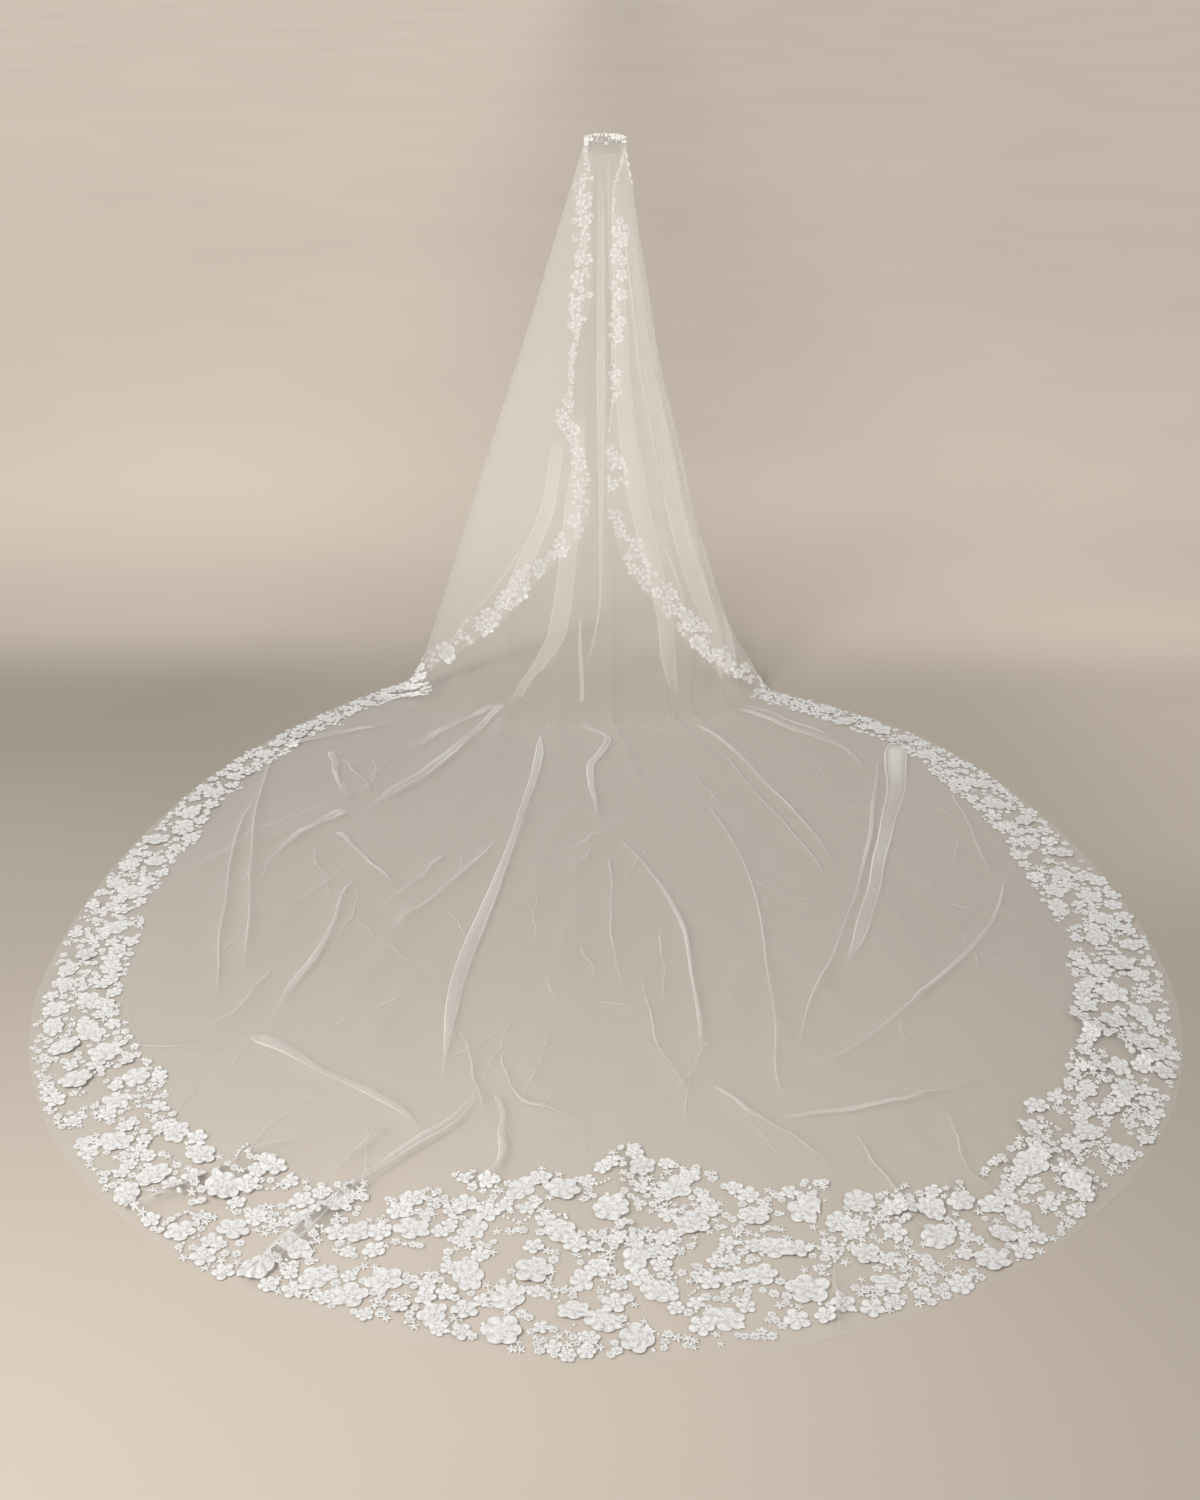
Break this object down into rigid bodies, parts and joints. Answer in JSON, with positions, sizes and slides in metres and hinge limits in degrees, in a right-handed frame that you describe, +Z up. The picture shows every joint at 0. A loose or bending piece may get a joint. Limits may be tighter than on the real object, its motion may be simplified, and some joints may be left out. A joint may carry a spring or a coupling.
{
  "type": "bridal veil",
  "caption": "Royal-length tulle bridal veil gathered on a metal hair comb, with a flower lace border that widens along its train.",
  "frame": {"origin": "middle of the comb's spine, where the veil is pinned to the hair", "axes": "+Z up; the train runs towards -Y on the floor 1.72 m below; the free edges hang on the +Y side; +X is to the right seen from behind the wearer"},
  "size_m": [2.7494, 3.0203, 1.7335],
  "materials": {
    "tulle": "sheer ivory tulle",
    "lace": "matt corded flower lace",
    "comb_metal": "satin grey wire"
  },
  "bodies": {
    "root": {"tulle_panel": "tulle", "comb": "comb_metal", "headpiece_lace": "lace", "lace_edging_left": "lace", "lace_edging_right": "lace", "lace_border_left": "lace", "lace_border_back": "lace", "lace_border_right": "lace"}
  },
  "joints": []
}
